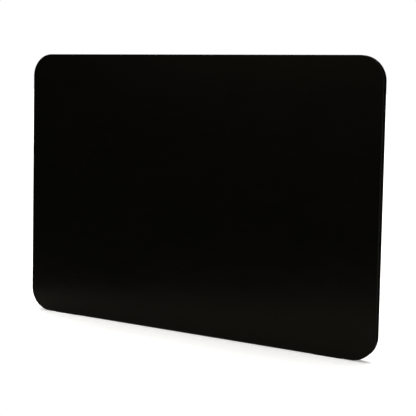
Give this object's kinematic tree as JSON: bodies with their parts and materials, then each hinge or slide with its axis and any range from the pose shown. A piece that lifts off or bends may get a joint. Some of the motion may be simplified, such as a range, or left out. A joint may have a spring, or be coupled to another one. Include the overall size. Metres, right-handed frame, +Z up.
{
  "type": "sandwich board",
  "caption": "Frameless folding sandwich board: plain black rounded boards hinged along the top, folded flat, with concealed stays, feet and magnetic catches.",
  "frame": {"origin": "on the ground, under the middle of the folded board", "axes": "+X to the right along the board's width, +Y to the rear, +Z up; the front writing face looks along -Y"},
  "size_m": [0.841, 0.019, 0.5948],
  "materials": {
    "black_board": "satin",
    "black_steel": "black powder coat",
    "bright_steel": "zinc plated",
    "zinc_screw": "zinc plated",
    "rubber": "moulded",
    "nylon": "natural",
    "magnet": "nickel plated"
  },
  "bodies": {
    "hinge_pins": {"left_hinge_pin": "bright_steel", "right_hinge_pin": "bright_steel"},
    "front_leaf": {"front_board": "black_board", "front_hinge_screws": "zinc_screw", "front_foot_screws": "zinc_screw", "stay_bracket_screws": "zinc_screw", "catch_magnet_screws": "zinc_screw", "front_bumpers": "rubber", "left_hinge_front_plate": "black_steel", "front_left_foot": "rubber", "left_stay_bracket": "black_steel", "left_stay_rivet": "bright_steel", "left_stay_washer": "nylon", "left_magnet_cup": "bright_steel", "left_catch_magnet": "magnet", "right_hinge_front_plate": "black_steel", "front_right_foot": "rubber", "right_stay_bracket": "black_steel", "right_stay_rivet": "bright_steel", "right_stay_washer": "nylon", "right_magnet_cup": "bright_steel", "right_catch_magnet": "magnet"},
    "rear_leaf": {"rear_board": "black_board", "rear_hinge_screws": "zinc_screw", "rear_foot_screws": "zinc_screw", "stay_track_screws": "zinc_screw", "catch_plate_screws": "zinc_screw", "rear_bumpers": "rubber", "left_hinge_rear_plate": "black_steel", "rear_left_foot": "rubber", "left_stay_track": "black_steel", "left_catch_plate": "bright_steel", "right_hinge_rear_plate": "black_steel", "rear_right_foot": "rubber", "right_stay_track": "black_steel", "right_catch_plate": "bright_steel"},
    "left_stay": {"left_stay_arm": "black_steel", "left_slide_pin": "bright_steel", "left_slide_bush": "nylon"},
    "right_stay": {"right_stay_arm": "black_steel", "right_slide_pin": "bright_steel", "right_slide_bush": "nylon"}
  },
  "joints": [
    {"name": "front_leaf_swing", "type": "hinge", "parent": "hinge_pins", "child": "front_leaf", "pos_m": [0, 0, 0.5878], "axis": [-1, 0, 0], "range_deg": [0, 15]},
    {"name": "rear_leaf_swing", "type": "hinge", "parent": "hinge_pins", "child": "rear_leaf", "pos_m": [0, 0, 0.5878], "axis": [1, 0, 0], "range_deg": [0, 15]},
    {"name": "left_stay_swing", "type": "hinge", "parent": "front_leaf", "child": "left_stay", "pos_m": [-0.3475, 0, 0.3778], "axis": [1, 0, 0], "range_deg": [0, 60]},
    {"name": "right_stay_swing", "type": "hinge", "parent": "front_leaf", "child": "right_stay", "pos_m": [0.3475, 0, 0.3778], "axis": [1, 0, 0], "range_deg": [0, 60]}
  ],
  "couplings": [
    {"joint": "rear_leaf_swing", "follows": "front_leaf_swing", "ratio": 1},
    {"joint": "left_stay_swing", "follows": "front_leaf_swing", "ratio": 4},
    {"joint": "right_stay_swing", "follows": "front_leaf_swing", "ratio": 4}
  ]
}
